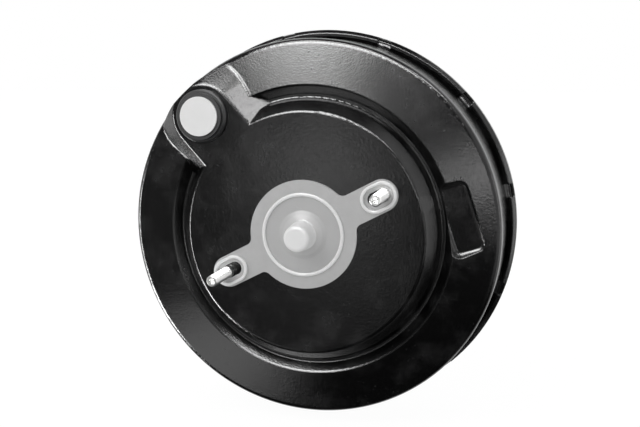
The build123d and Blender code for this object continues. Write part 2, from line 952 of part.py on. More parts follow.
# --------------------------------------------------------- input rod and boot
collar_front_s = cup_s - clip_t - seat_gap
with BuildPart() as input_rod:
    with BuildSketch(section):
        with BuildLine():
            Polyline(
                (0, ball_s),
                (rod_neck_r, ball_s),
                (rod_neck_r, ball_s - rod_neck_len),
                (input_rod_r, ball_s - rod_neck_len - input_rod_r + rod_neck_r),
                (input_rod_r, collar_front_s),
                (collar_r, collar_front_s),
                (collar_r, collar_front_s - collar_t),
                (input_rod_r, collar_front_s - collar_t),
                (input_rod_r, nut_s + thread_run),
                (input_thread_r, nut_s + thread_run),
                (input_thread_r, rod_end_s),
                (0, rod_end_s),
                close=True,
            )
        make_face()
    revolve(axis=Axis.Y)
    with Locations((0, -ball_s, 0)):
        Sphere(ball_r)
input_rod.part.label = "input_rod"
export_step(input_rod.part, "parts/input_rod.step")

with BuildPart() as spring_cup:
    with BuildSketch(section):
        with BuildLine():
            Polyline(
                (input_rod_r + seat_gap, cup_s),
                (cup_r - clip_t, cup_s),
                (cup_r - clip_t, cup_s + cup_rim),
                (cup_r, cup_s + cup_rim),
                (cup_r, cup_s - clip_t),
                (input_rod_r + seat_gap, cup_s - clip_t),
                close=True,
            )
        make_face()
    revolve(axis=Axis.Y)
spring_cup.part.label = "spring_cup"
export_step(spring_cup.part, "parts/spring_cup.step")

boot_grip_r = neck_r + seat_gap + boot_t
boot_pitch = (boot_last_s + neck_len) / boot_folds
boot_skin = [(boot_grip_r, -boot_front_s), (boot_grip_r, -neck_len)]
boot_rounds = []
for fold in range(boot_folds):
    share = fold / (boot_folds - 1)
    fold_s = -neck_len + fold * boot_pitch
    boot_skin.append((boot_peak_r - share * boot_taper, fold_s + 0.4 * boot_pitch))
    boot_skin.append((boot_valley_r - share * boot_taper, fold_s + 0.9 * boot_pitch))
    boot_rounds += [1.5, 2.0]
boot_end_r = input_rod_r + seat_gap + boot_t
boot_skin += [(boot_end_r, boot_last_s), (boot_end_r, boot_last_s - boot_grip_len)]
boot_rounds += [2.0, 1.8]
with BuildPart() as dust_boot:
    add(sheet(boot_skin, boot_rounds, 0, boot_t))
    revolve(axis=Axis.Y)
dust_boot.part.label = "dust_boot"
export_step(dust_boot.part, "parts/dust_boot.step")

nut_chamfer = nut_t / 5
with BuildPart() as lock_nut:
    with BuildSketch(front(nut_s - nut_t)):
        RegularPolygon(nut_af / 2, 6, major_radius=False)
        Circle(input_thread_r + running_fit, mode=Mode.SUBTRACT)
    extrude(amount=nut_t)
    with BuildSketch(section):
        with BuildLine():
            Polyline(
                (0, nut_s - nut_t),
                (nut_af / 2, nut_s - nut_t),
                (nut_af / 2 + 2 * nut_chamfer, nut_s - nut_t + nut_chamfer),
                (nut_af / 2 + 2 * nut_chamfer, nut_s - nut_chamfer),
                (nut_af / 2, nut_s),
                (0, nut_s),
                close=True,
            )
        make_face()
    revolve(axis=Axis.Y, mode=Mode.INTERSECT)
lock_nut.part.label = "lock_nut"
export_step(lock_nut.part, "parts/lock_nut.step")

boss_front = nut_s - nut_t - seat_gap
fork_front_s = boss_front - clevis_boss_len
fork_full_w = clevis_gap + 2 * clevis_ear_t
side_view = Plane.YZ
with BuildPart() as clevis:
    with BuildSketch(front(fork_front_s)):
        Circle(clevis_boss_r)
    extrude(amount=clevis_boss_len)
    with BuildSketch(side_view.offset(-fork_full_w / 2)):
        with Locations((-clevis_bore_s, 0)):
            Circle(clevis_w / 2)
        with Locations((-clevis_bore_s, 0)):
            Rectangle(fork_front_s - clevis_bore_s, clevis_w, align=(Align.MAX, Align.CENTER))
    extrude(amount=fork_full_w)
    with BuildSketch(side_view.offset(-clevis_gap / 2)):
        with Locations((-fork_front_s + clevis_ear_t, 0)):
            Rectangle(2 * clevis_w, 2 * clevis_w, align=(Align.MIN, Align.CENTER))
    extrude(amount=clevis_gap, mode=Mode.SUBTRACT)
    with BuildSketch(side_view.offset(-fork_full_w / 2)):
        with Locations((-clevis_bore_s, 0)):
            Circle(clevis_bore_r)
    extrude(amount=fork_full_w, mode=Mode.SUBTRACT)
    with BuildSketch(front(fork_front_s - clevis_ear_t)):
        Circle(input_thread_r + running_fit)
    extrude(amount=clevis_boss_len + clevis_ear_t, mode=Mode.SUBTRACT)
clevis.part.label = "clevis"
export_step(clevis.part, "parts/clevis.step")

# ----------------------------------------------------------- transport cover
cover_back_s = plateau_s + cover_gap
cover_face_s = cover_back_s + cover_t
dome_top_s = cover_face_s + dome_h
dome_root_s = cover_face_s + dome_cone_h
spigot_r = bore_r - spigot_fit
ring_r = spigot_r - spigot_w / 2
dome_skin = [
    (0, dome_top_s),
    (dome_r - dome_draft, dome_top_s),
    (dome_r, dome_root_s),
    (dome_cone_r, cover_face_s),
    (ring_r, cover_face_s),
]
dome_rounds = [2.8, 2.0, 3.0]
ear_angles = [front_stud_angle, front_stud_angle + 180]
ears = [polar(ear_r, angle) for angle in ear_angles]


def obround(length, width):
    """A round-ended shape on each ear of the cover, along the arms."""
    with BuildSketch() as pair:
        for ear in ears:
            with Locations(ear):
                SlotOverall(length, width, rotation=front_stud_angle)
    return pair.sketch


ear_outside = obround(ear_rim_len, ear_rim_w)
ear_inside = obround(ear_rim_len - 2 * ear_rim_t, ear_rim_w - 2 * ear_rim_t)
ear_hole = obround(ear_hole_len, ear_hole_w)

with BuildPart() as transport_cover:
    with BuildSketch(front(cover_back_s)) as cover_outline:
        Circle(cover_r)
        SlotOverall(2 * arm_end_r, arm_w, rotation=front_stud_angle)
        inner_corners = cover_outline.vertices().group_by(lambda v: round(Vector(v).length))[0]
        fillet(inner_corners, arm_round)
        Circle(ring_r, mode=Mode.SUBTRACT)
    extrude(amount=cover_t)
    add(sheet(dome_skin, dome_rounds, 0, cover_wall))
    revolve(axis=Axis.Y)
    with BuildSketch(section):
        with Locations((ring_r, plateau_s - spigot_len)):
            Rectangle(spigot_w, spigot_len + cover_t, align=(Align.CENTER, Align.MIN))
        with Locations((ring_r, cover_face_s)):
            SlotOverall(2 * ring_h, ring_w, rotation=90)
    revolve(axis=Axis.Y)
    with BuildSketch(front(cover_face_s)):
        add(ear_outside)
        add(ear_inside, mode=Mode.SUBTRACT)
    extrude(amount=ear_rim_h)
    rim_top_y = -cover_face_s - ear_rim_h
    fillet(
        transport_cover.edges().filter_by_position(
            Axis.Y, rim_top_y - seat_gap, rim_top_y + seat_gap
        ),
        ear_rim_round,
    )
    with BuildSketch(front(cover_face_s)):
        with Locations(*[polar(ejector_circle_r, angle) for angle in ejector_angles]):
            Circle(ejector_r)
    extrude(amount=-ejector_mark_t, mode=Mode.SUBTRACT)
    with BuildSketch(front(cover_back_s)):
        add(ear_hole)
    extrude(amount=cover_t, mode=Mode.SUBTRACT)
transport_cover.part.label = "transport_cover"
export_step(transport_cover.part, "parts/transport_cover.step")

# ------------------------------------------------------- grommet and port seal
port_section = Plane(origin=(port[0], 0, port[1]), x_dir=(1, 0, 0), z_dir=(0, 0, -1))
port_axis = Axis((port[0], 0, port[1]), (0, 1, 0))
grommet_back_s = inside_s - grommet_t
grommet_seat_s = plateau_s + cover_gap
grommet_front_s = grommet_seat_s + grommet_t + grommet_step_t

with BuildPart() as vacuum_grommet:
    with BuildSketch(port_section):
        with BuildLine():
            Polyline(
                (grommet_bore_r, grommet_back_s),
                (grommet_step_r, grommet_back_s),
                (grommet_step_r, inside_s - cover_gap),
                (port_hole_r - seat_gap, inside_s - cover_gap),
                (port_hole_r - seat_gap, grommet_seat_s),
                (grommet_r, grommet_seat_s),
                (grommet_r, grommet_seat_s + grommet_t - grommet_round),
                (grommet_r - grommet_round, grommet_seat_s + grommet_t),
                (grommet_step_r, grommet_seat_s + grommet_t),
                (grommet_step_r, grommet_front_s),
                (grommet_bore_r, grommet_front_s),
                close=True,
            )
        make_face()
    revolve(axis=port_axis)
vacuum_grommet.part.label = "vacuum_grommet"
export_step(vacuum_grommet.part, "parts/vacuum_grommet.step")

plug_r = grommet_bore_r - seat_gap
plug_seat_s = grommet_front_s + seat_gap
with BuildPart() as port_plug:
    with BuildSketch(port_section):
        with BuildLine():
            Polyline(
                (0, grommet_back_s),
                (plug_r - rubber_t, grommet_back_s),
                (plug_r, grommet_back_s + rubber_t),
                (plug_r, plug_seat_s),
                (plug_disc_r, plug_seat_s),
                (plug_disc_r, plug_seat_s + plug_disc_t),
                (0, plug_seat_s + plug_disc_t),
                close=True,
            )
        make_face()
    revolve(axis=port_axis)
port_plug.part.label = "port_plug"
export_step(port_plug.part, "parts/port_plug.step")
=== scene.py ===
"""Looks for a vacuum brake booster: finishes, threads, copies of the soft pieces and stage."""

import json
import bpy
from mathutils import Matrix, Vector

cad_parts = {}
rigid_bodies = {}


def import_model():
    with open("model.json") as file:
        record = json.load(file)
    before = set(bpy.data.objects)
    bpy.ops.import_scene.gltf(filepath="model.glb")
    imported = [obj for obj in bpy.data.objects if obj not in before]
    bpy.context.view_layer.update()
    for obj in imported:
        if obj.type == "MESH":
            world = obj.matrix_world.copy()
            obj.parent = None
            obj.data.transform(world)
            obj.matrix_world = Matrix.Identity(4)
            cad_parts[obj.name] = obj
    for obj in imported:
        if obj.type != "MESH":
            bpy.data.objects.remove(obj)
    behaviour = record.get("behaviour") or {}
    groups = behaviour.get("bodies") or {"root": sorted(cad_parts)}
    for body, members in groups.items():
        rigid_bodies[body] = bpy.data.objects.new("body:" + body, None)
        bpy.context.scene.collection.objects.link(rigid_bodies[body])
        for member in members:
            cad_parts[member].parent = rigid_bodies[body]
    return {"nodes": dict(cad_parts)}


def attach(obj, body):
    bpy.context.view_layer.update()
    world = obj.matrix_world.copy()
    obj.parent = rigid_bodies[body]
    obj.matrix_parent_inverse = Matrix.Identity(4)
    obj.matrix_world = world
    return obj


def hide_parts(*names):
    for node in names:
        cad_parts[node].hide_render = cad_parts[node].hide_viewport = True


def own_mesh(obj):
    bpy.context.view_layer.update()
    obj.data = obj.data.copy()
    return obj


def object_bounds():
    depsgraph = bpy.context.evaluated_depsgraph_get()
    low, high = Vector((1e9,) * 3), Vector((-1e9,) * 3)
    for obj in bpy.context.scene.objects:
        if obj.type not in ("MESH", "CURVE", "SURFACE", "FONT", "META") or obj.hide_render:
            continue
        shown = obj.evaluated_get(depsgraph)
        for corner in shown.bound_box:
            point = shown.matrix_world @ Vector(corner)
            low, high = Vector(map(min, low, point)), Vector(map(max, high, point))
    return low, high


bl_info = {
    "name": "Brake Booster Looks",
    "version": (1, 0, 0),
    "blender": (4, 5, 0),
    "location": "3D View > Sidebar > Booster",
    "description": "Finishes, threads, folding pieces and stage for a vacuum brake booster",
    "category": "Object",
}

from math import pi

import bpy
from mathutils import Matrix, Vector

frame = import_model()
CAD_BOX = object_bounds()
NODES = frame["nodes"]

# Lengths are in metres, and follow the CAD solids.

# Cover: its flat face, and where its shade changes, each as the start and end of a step
COVER_FACE_Y = -0.10795
CONE_FOOT_RADII = (0.0192, 0.0172)
CONE_TOP_RADII = (0.0094, 0.0104)
DISH_RADII = (0.0268, 0.0262)
RAISED_HEIGHTS = (0.0003, 0.0011)

# Studs: X and Z of each, and Y where the thread starts and ends
FRONT_STUDS = ((0.05462, 0.02892), (-0.05462, -0.02892))
FRONT_RUN = (-0.1112, -0.1362)
REAR_STUDS = ((-0.04, -0.03), (-0.04, 0.03), (0.04, -0.03), (0.04, 0.03))
REAR_RUN = (0.0034, 0.0245)

# Thread tool: the outer radius it works from, the radius of its three-sided section in
# pitches, its height in thread depths, and its steps for each turn
THREAD_RADIUS = 0.00395
TOOL_PITCHES = 0.537
TOOL_DEPTHS = 1.15
TURN_STEPS = 36

# Soft pieces: Y of the end that stays still
BOOT_FIXED_Y = 0.012
SPRING_FIXED_Y = -0.10195

MERGE = 0.000001
SHARP_ANGLE = 0.6
WHITE = (1.0, 1.0, 1.0, 1.0)

# Floor: its width, and its gap under the booster
FLOOR_WIDTH = 30.0
FLOOR_GAP = 0.0004

# Lamps: the point they face, then name, direction from it, distance, width, height and
# radiance. The key lamp lights the surfaces, and the others show only as shine.
LAMP_TARGET = Vector((0.0, -0.07, 0.0))
KEY_LAMP = ("key_lamp", (-0.45, -0.6, 0.66), 1.6, 0.9, 0.9, 2.2)
SHINE_LAMPS = (
    ("front_box", (-0.29, -0.78, 0.56), 1.6, 0.84, 0.46, 18.0),
    ("soft_box", (-0.28, -0.88, 0.38), 1.6, 0.54, 0.42, 8.0),
    ("spill_box", (0.0, -0.96, 0.26), 1.5, 0.4, 0.3, 1.6),
    ("upper_box", (-0.08, -0.66, 0.75), 1.5, 1.25, 0.22, 34.0),
    ("overhead_box", (-0.08, -0.4, 0.91), 1.3, 1.0, 0.42, 11.0),
    ("slope_box", (0.5, -0.36, 0.79), 1.5, 0.34, 0.34, 15.0),
    ("low_left_box", (-0.5, -0.68, -0.53), 1.5, 0.66, 0.4, 2.2),
    ("low_edge_box", (-0.8, -0.2, -0.56), 1.5, 0.5, 0.36, 30.0),
    ("left_strip", (-0.91, -0.34, -0.22), 1.4, 0.22, 0.7, 30.0),
    ("small_box", (0.32, -0.95, 0.02), 1.5, 0.5, 0.15, 7.0),
    ("middle_box", (-0.24, -0.965, -0.07), 1.5, 0.2, 0.26, 3.0),
    ("lower_box", (-0.17, -0.96, -0.26), 1.5, 0.3, 0.2, 0.5),
    ("right_strip", (0.97, -0.1, -0.05), 1.4, 0.2, 1.2, 2.5),
)

# Camera: where it stands, its right and backward directions, its sensor's width in
# millimetres, and its focal length in sensor widths
EYE = Vector((0.15563, -0.64562, 0.10312))
EYE_RIGHT = Vector((0.96611, 0.25814, 0.0))
EYE_BACK = Vector((0.25496, -0.95420, 0.15649))
SENSOR_WIDTH = 36.0
FOCAL_WIDTHS = 1.328125


# ------------------------------------------------------------------ shader maths
class Value:
    """A number that varies over a surface. Python arithmetic on it adds Math nodes."""

    def __init__(self, tree, socket):
        self.tree = tree
        self.socket = socket

    def math(self, operation, *items):
        node = self.tree.nodes.new("ShaderNodeMath")
        node.operation = operation
        for slot, item in zip(node.inputs, items):
            if isinstance(item, Value):
                self.tree.links.new(item.socket, slot)
            else:
                slot.default_value = item
        return Value(self.tree, node.outputs[0])

    def __add__(self, other):
        return self.math("ADD", self, other)

    def __radd__(self, other):
        return self.math("ADD", other, self)

    def __sub__(self, other):
        return self.math("SUBTRACT", self, other)

    def __rsub__(self, other):
        return self.math("SUBTRACT", other, self)

    def __mul__(self, other):
        return self.math("MULTIPLY", self, other)

    def __pow__(self, other):
        return self.math("POWER", self, other)

    def smooth(self, start, end):
        """Smooth step, 0 at start and 1 at end, where start may be the larger of the two."""
        node = self.tree.nodes.new("ShaderNodeMapRange")
        node.interpolation_type = "SMOOTHSTEP"
        self.tree.links.new(self.socket, node.inputs["Value"])
        low, high = min(start, end), max(start, end)
        node.inputs["From Min"].default_value = low
        node.inputs["From Max"].default_value = high
        node.inputs["To Min"].default_value = 0.0 if start < end else 1.0
        node.inputs["To Max"].default_value = 1.0 if start < end else 0.0
        return Value(self.tree, node.outputs["Result"])


class Nodes:
    """A node tree, and one way to add any node to it."""

    def __init__(self, tree):
        self.tree = tree

    def add(self, kind, settings=None, **sockets):
        node = self.tree.nodes.new(kind)
        for name, value in (settings or {}).items():
            setattr(node, name, value)
        for name, value in sockets.items():
            self.put(node.inputs[name.replace("_", " ")], value)
        return node

    def put(self, slot, value):
        if isinstance(value, Value):
            self.tree.links.new(value.socket, slot)
        elif isinstance(value, bpy.types.NodeSocket):
            self.tree.links.new(value, slot)
        else:
            slot.default_value = value

    def value(self, socket):
        return Value(self.tree, socket)

    def split(self, vector):
        parts = self.add("ShaderNodeSeparateXYZ", Vector=vector)
        return [self.value(parts.outputs[axis]) for axis in "XYZ"]

    def mix(self, factor, first, second):
        """A colour between two colours."""
        node = self.add("ShaderNodeMix", {"data_type": "RGBA"})
        self.put(node.inputs[0], factor)
        self.put(node.inputs[6], first)
        self.put(node.inputs[7], second)
        return node.outputs[2]


class Finish(Nodes):
    """A material with a Principled shader."""

    def __init__(self, name, colour, roughness, metallic=0.0, **fixed):
        self.material = bpy.data.materials.new(name)
        self.material.use_nodes = True
        super().__init__(self.material.node_tree)
        self.shader = self.tree.nodes["Principled BSDF"]
        self.colour = (*colour, 1.0)
        self.set("Base Color", self.colour)
        self.set("Roughness", roughness)
        self.set("Metallic", metallic)
        for slot, value in fixed.items():
            self.set(slot.replace("_", " "), value)
        self.where = self.add("ShaderNodeTexCoord").outputs["Object"]

    def set(self, slot, value):
        self.put(self.shader.inputs[slot], value)

    def noise(self, size, detail=3.0, rough=0.55, stretch=(1, 1, 1), seed=0.0):
        """Noise between 0 and 1 whose features are about size metres across."""
        mapping = self.add(
            "ShaderNodeMapping",
            Vector=self.where,
            Scale=stretch,
            Location=(seed, seed, seed),
        )
        node = self.add(
            "ShaderNodeTexNoise",
            Vector=mapping.outputs[0],
            Scale=1.0 / size,
            Detail=detail,
            Roughness=rough,
        )
        return self.value(node.outputs["Fac"])

    def specks(self, size, amount):
        """Round specks, 1 at their middles, with cells of size metres."""
        node = self.add("ShaderNodeTexVoronoi", Vector=self.where, Scale=1.0 / size)
        return self.value(node.outputs["Distance"]).smooth(amount, amount * 0.5)

    def bump(self, height, depth, edge=0.0):
        """Height from 0 to 1 stands for a depth in metres; edge is a radius for soft edges."""
        node = self.add("ShaderNodeBump", Height=height, Distance=depth)
        if edge:
            soft = self.add("ShaderNodeBevel", {"samples": 8}, Radius=edge)
            self.put(node.inputs["Normal"], soft.outputs["Normal"])
        self.set("Normal", node.outputs["Normal"])

    def give(self, *names):
        """Puts this finish on CAD nodes, or on new pieces given as objects."""
        for name in names:
            piece = NODES[name] if isinstance(name, str) else name
            piece.data.materials.clear()
            piece.data.materials.append(self.material)


# ----------------------------------------------------------------- mesh helpers
def select_none():
    for other in bpy.context.view_layer.objects:
        other.select_set(False)


def current(name):
    piece = bpy.context.object
    piece.name = name
    piece.data.name = name
    return piece


def pick(piece):
    """Selects one piece alone and makes it active."""
    select_none()
    piece.select_set(True)
    bpy.context.view_layer.objects.active = piece


def settle(piece):
    """Puts the piece's place into its mesh, with its object at the origin."""
    pick(piece)
    bpy.ops.object.transform_apply(location=True, rotation=True, scale=True)


def edit_all():
    """Edit mode on the active piece, with all of its mesh selected."""
    bpy.ops.object.mode_set(mode="EDIT")
    bpy.ops.mesh.select_all(action="SELECT")


def leave_edit():
    bpy.ops.object.mode_set(mode="OBJECT")


def merge_doubles():
    edit_all()
    bpy.ops.mesh.remove_doubles(threshold=MERGE)
    leave_edit()


# ------------------------------------------------------------------- properties
class BoosterPaint(bpy.types.PropertyGroup):
    colour: bpy.props.FloatVectorProperty(
        name="Paint",
        description="Colour of the shells' paint",
        subtype="COLOR",
        size=3,
        min=0,
        max=1,
        default=(0.0016, 0.0016, 0.0017),
    )
    dust: bpy.props.FloatVectorProperty(
        name="Dust",
        description="Colour of the faint dust on the paint",
        subtype="COLOR",
        size=3,
        min=0,
        max=1,
        default=(0.14, 0.14, 0.14),
    )
    roughness: bpy.props.FloatProperty(
        name="Roughness",
        description="How soft the paint's reflections are",
        subtype="FACTOR",
        min=0,
        max=1,
        default=0.17,
    )


class BoosterMoulding(bpy.types.PropertyGroup):
    thin: bpy.props.FloatVectorProperty(
        name="Thin plastic",
        description="Colour of the cover where it is thin and lies on the black shell",
        subtype="COLOR",
        size=3,
        min=0,
        max=1,
        default=(0.5, 0.5, 0.5),
    )
    thick: bpy.props.FloatVectorProperty(
        name="Thick plastic",
        description="Colour of the cover's raised edges and dome",
        subtype="COLOR",
        size=3,
        min=0,
        max=1,
        default=(0.86, 0.86, 0.86),
    )


class BoosterThread(bpy.types.PropertyGroup):
    pitch: bpy.props.FloatProperty(
        name="Pitch",
        description="Distance between turns of the stud threads",
        unit="LENGTH",
        min=0.0005,
        max=0.003,
        default=0.00125,
    )
    depth: bpy.props.FloatProperty(
        name="Depth",
        description="How deep the stud threads are cut",
        unit="LENGTH",
        min=0.0002,
        max=0.0015,
        default=0.00072,
    )


# -------------------------------------------------------------------- operators
class BOOSTER_OT_paint_shells(bpy.types.Operator):
    """Semi-gloss black paint on both shells, with faint dust and orange peel"""

    bl_idname = "booster.paint_shells"
    bl_label = "Paint Shells"

    def execute(self, context):
        looks = context.scene.booster_paint
        paint = Finish("black_paint", looks.colour, looks.roughness)
        patches = paint.noise(0.022, detail=5.0, rough=0.6).smooth(0.44, 0.7)
        streaks = paint.noise(0.004, detail=4.0, rough=0.7, seed=3.0).smooth(0.5, 0.8)
        grains = paint.specks(0.0035, 0.16) * paint.noise(0.03, seed=7.0).smooth(0.5, 0.6)
        dust = patches * 0.4 + streaks * patches * 0.5 + grains * 0.6
        paint.set("Base Color", paint.mix(dust * 0.2, paint.colour, (*looks.dust, 1.0)))
        paint.set("Roughness", looks.roughness + dust * 0.1)
        paint.bump(paint.noise(0.0012, detail=3.0), 0.0001, edge=0.0008)
        paint.give("front_shell", "rear_shell")
        return {"FINISHED"}


class BOOSTER_OT_finish_cover(bpy.types.Operator):
    """Milky moulded plastic on the transport cover and the port plug"""

    bl_idname = "booster.finish_cover"
    bl_label = "Finish Cover"

    def execute(self, context):
        looks = context.scene.booster_moulding
        milky = Finish("milky_plastic", looks.thin, 0.38, Specular_IOR_Level=0.4)
        x, y, z = milky.split(milky.where)
        height = COVER_FACE_Y - y
        radius = (x * x + z * z) ** 0.5
        cone = radius.smooth(*CONE_FOOT_RADII) * radius.smooth(*CONE_TOP_RADII)
        raised = height.smooth(*RAISED_HEIGHTS) * (1.0 - cone * 0.8)
        dish = radius.smooth(*DISH_RADII) * -0.14
        cloud = milky.noise(0.006, detail=4.0) * 0.24
        thick = raised + dish * (1.0 - raised) + cloud - 0.08
        milky.set("Base Color", milky.mix(thick, (*looks.thin, 1.0), (*looks.thick, 1.0)))
        milky.bump(milky.noise(0.0012, detail=2.0), 0.00002)
        milky.give("transport_cover")

        white = Finish("white_plastic", looks.thick, 0.45)
        white.set(
            "Base Color",
            white.mix(white.noise(0.004) * 0.5, (*looks.thick, 1.0), (0.78, 0.78, 0.77, 1.0)),
        )
        white.bump(white.noise(0.0008, detail=2.0), 0.00003)
        white.give("port_plug")
        return {"FINISHED"}


def zinc(name, colour, roughness):
    """Zinc-plated steel, a little cloudy."""
    plate = Finish(name, colour, roughness, 1.0)
    cloud = plate.noise(0.003, detail=4.0, rough=0.6)
    dull = tuple(channel * 0.72 for channel in colour)
    plate.set("Base Color", plate.mix(cloud, plate.colour, (*dull, 1.0)))
    plate.set("Roughness", roughness - 0.08 + cloud * 0.18)
    return plate


class BOOSTER_OT_finish_steel(bpy.types.Operator):
    """Zinc-plated and turned steel on the studs, rods, springs and pressings"""

    bl_idname = "booster.finish_steel"
    bl_label = "Finish Steel"

    def execute(self, context):
        stud = zinc("stud_zinc", (0.9, 0.9, 0.89), 0.3)
        stud.bump(stud.noise(0.0006, detail=2.0), 0.00003)
        stud.give("master_cylinder_studs", "firewall_studs", "lock_nut")

        plate = zinc("zinc_plate", (0.66, 0.65, 0.6), 0.36)
        plate.bump(plate.noise(0.001, detail=2.0), 0.00002)
        plate.give(
            "stud_plate",
            "diaphragm_plate",
            "seal_retainer",
            "rod_retainer",
            "stop_key",
            "poppet_retainer",
            "spring_cup",
            "clevis",
        )

        turned = zinc("turned_steel", (0.6, 0.59, 0.57), 0.3)
        rings = turned.noise(0.0005, detail=1.0, stretch=(0.05, 1, 0.05))
        turned.bump(rings, 0.00001)
        turned.give("output_rod", "rod_adjuster", "valve_plunger", "input_rod")

        wire = zinc("spring_wire", (0.22, 0.22, 0.23), 0.35)
        wire.give("return_spring", "poppet_spring", "rod_return_spring")
        return {"FINISHED"}


class BOOSTER_OT_finish_rubber(bpy.types.Operator):
    """Rubber, foam and resin pieces"""

    bl_idname = "booster.finish_rubber"
    bl_label = "Finish Rubber"

    def execute(self, context):
        satin = Finish("satin_rubber", (0.016, 0.016, 0.017), 0.42)
        satin.bump(satin.noise(0.0007, detail=3.0), 0.00003)
        satin.give("vacuum_grommet")

        soft = Finish("boot_rubber", (0.02, 0.02, 0.021), 0.55)
        bloom = soft.noise(0.012, detail=5.0)
        soft.set("Base Color", soft.mix(bloom * 0.6, soft.colour, (0.045, 0.045, 0.047, 1.0)))
        soft.bump(soft.noise(0.0006, detail=3.0), 0.00004)
        soft.give("dust_boot", "diaphragm", "neck_seal", "reaction_disc", "poppet_valve")

        fibre = Finish("gasket_fibre", (0.05, 0.05, 0.05), 0.85)
        fibre.bump(fibre.noise(0.0009, detail=6.0, rough=0.8), 0.0001)
        fibre.give("mounting_gasket")

        foam = Finish("open_foam", (0.06, 0.06, 0.06), 0.95)
        cells = foam.specks(0.0014, 0.5)
        # The near-black pore colour is painted shade inside the foam's cells; the pale colour
        # is the foam's own, and the cells also drive the bump
        painted_pore_shade, wall = (0.01, 0.01, 0.01, 1.0), (0.14, 0.14, 0.14, 1.0)
        foam.set("Base Color", foam.mix(cells, wall, painted_pore_shade))
        foam.bump(cells, 0.0004)
        foam.give("air_filter")

        felt = Finish("grey_felt", (0.4, 0.38, 0.34), 0.95)
        felt.bump(felt.noise(0.0008, detail=6.0, rough=0.8), 0.0003)
        felt.give("silencer")

        resin = Finish("brown_resin", (0.06, 0.045, 0.035), 0.4)
        flow = resin.noise(0.01, detail=4.0)
        resin.set("Base Color", resin.mix(flow, resin.colour, (0.1, 0.075, 0.055, 1.0)))
        resin.bump(resin.noise(0.0012, detail=2.0), 0.00003)
        resin.give("power_piston")

        nylon = Finish("natural_nylon", (0.7, 0.67, 0.58), 0.4)
        nylon.bump(nylon.noise(0.001, detail=2.0), 0.00002)
        nylon.give("guide_bush")
        return {"FINISHED"}


# ------------------------------------------------------- threads and soft pieces
def copied(node, name):
    """Closed copy of a CAD node, with a mesh of its own and its doubles merged."""
    pick(NODES[node])
    bpy.ops.object.duplicate()
    piece = current(name)
    place = piece.matrix_world.copy()
    piece.parent = None
    piece.matrix_world = place
    for key in list(piece.keys()):
        if key.startswith("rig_"):
            del piece[key]
    merge_doubles()
    bpy.ops.mesh.customdata_custom_splitnormals_clear()
    return piece


def stand_in(piece, node):
    """The finished piece rides the shell and is shown in place of its CAD node."""
    bpy.ops.object.shade_smooth_by_angle(angle=SHARP_ANGLE)
    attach(piece, "shell")
    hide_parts(node)


def helix(place, start, end, looks):
    """Three-sided helix along Y that cuts one stud's groove, with its point inwards."""
    pitch, depth = looks.pitch, looks.depth
    middle = (0.0, 0.0, 0.0)
    # The tool's open side is a little narrower than the pitch, which leaves a flat crest,
    # and stands a little outside the stud.
    radius = pitch * TOOL_PITCHES
    stretch = depth * TOOL_DEPTHS / (1.5 * radius)
    select_none()
    bpy.ops.mesh.primitive_circle_add(vertices=3, radius=radius, fill_type="NGON")
    tool = current("thread_tool")
    edit_all()
    bpy.ops.transform.rotate(value=-pi / 2, orient_axis="Z", center_override=middle)
    bpy.ops.transform.resize(value=(stretch, 1.0, 1.0), center_override=middle)
    out = THREAD_RADIUS - depth + radius * stretch
    bpy.ops.transform.translate(value=(out, 0.0, 0.0))
    leave_edit()
    turns = tool.modifiers.new("turns", "SCREW")
    turns.axis = "Y"
    turns.screw_offset = pitch if end > start else -pitch
    turns.iterations = int(abs(end - start) / pitch) + 1
    turns.steps = turns.render_steps = TURN_STEPS
    bpy.ops.object.modifier_apply(modifier="turns")
    tool.location = (place[0], start, place[1])
    settle(tool)
    edit_all()
    bpy.ops.mesh.remove_doubles(threshold=MERGE)
    bpy.ops.mesh.fill_holes(sides=4)
    bpy.ops.mesh.select_all(action="SELECT")
    bpy.ops.mesh.normals_make_consistent(inside=False)
    leave_edit()
    return tool


class BOOSTER_OT_cut_threads(bpy.types.Operator):
    """Rolled threads cut into the studs on both sides of the booster"""

    bl_idname = "booster.cut_threads"
    bl_label = "Cut Threads"

    def execute(self, context):
        runs = {
            "master_cylinder_studs": (FRONT_STUDS, *FRONT_RUN),
            "firewall_studs": (REAR_STUDS, *REAR_RUN),
        }
        for node, (places, start, end) in runs.items():
            piece = copied(node, node.replace("studs", "threaded_studs"))
            for place in places:
                tool = helix(place, start, end, context.scene.booster_thread)
                groove = piece.modifiers.new("groove", "BOOLEAN")
                groove.operation = "DIFFERENCE"
                groove.object = tool
                pick(piece)
                bpy.ops.object.modifier_apply(modifier="groove")
                bpy.data.objects.remove(tool)
            merge_doubles()
            stand_in(piece, node)
        return {"FINISHED"}


class BOOSTER_OT_fold_soft_pieces(bpy.types.Operator):
    """Copies of the dust boot and return spring, shown in place of their CAD nodes"""

    bl_idname = "booster.fold_soft_pieces"
    bl_label = "Fold Soft Pieces"

    def execute(self, context):
        pieces = {
            "dust_boot": ("folding_boot", BOOT_FIXED_Y, "boot_rubber"),
            "return_spring": ("folding_spring", SPRING_FIXED_Y, "spring_steel"),
        }
        for node, (name, fixed_end, slot) in pieces.items():
            piece = copied(node, name)
            stand_in(piece, node)
            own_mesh(piece)
        return {"FINISHED"}


# ------------------------------------------------------------------------ stage
def softbox(name, towards, distance, width, height, radiance, only_shine=True):
    """Area lamp that faces the lamps' target from a direction, as a shine or as light."""
    lamp = bpy.data.lights.new(name, "AREA")
    lamp.shape = "RECTANGLE"
    lamp.size = width
    lamp.size_y = height
    lamp.energy = radiance * pi * width * height
    box = bpy.data.objects.new(name, lamp)
    away = Vector(towards).normalized()
    box.rotation_euler = away.to_track_quat("Z", "Y").to_euler()
    box.location = LAMP_TARGET + away * distance
    box.visible_camera = False
    box.visible_diffuse = not only_shine
    box.visible_glossy = only_shine
    bpy.context.scene.collection.objects.link(box)


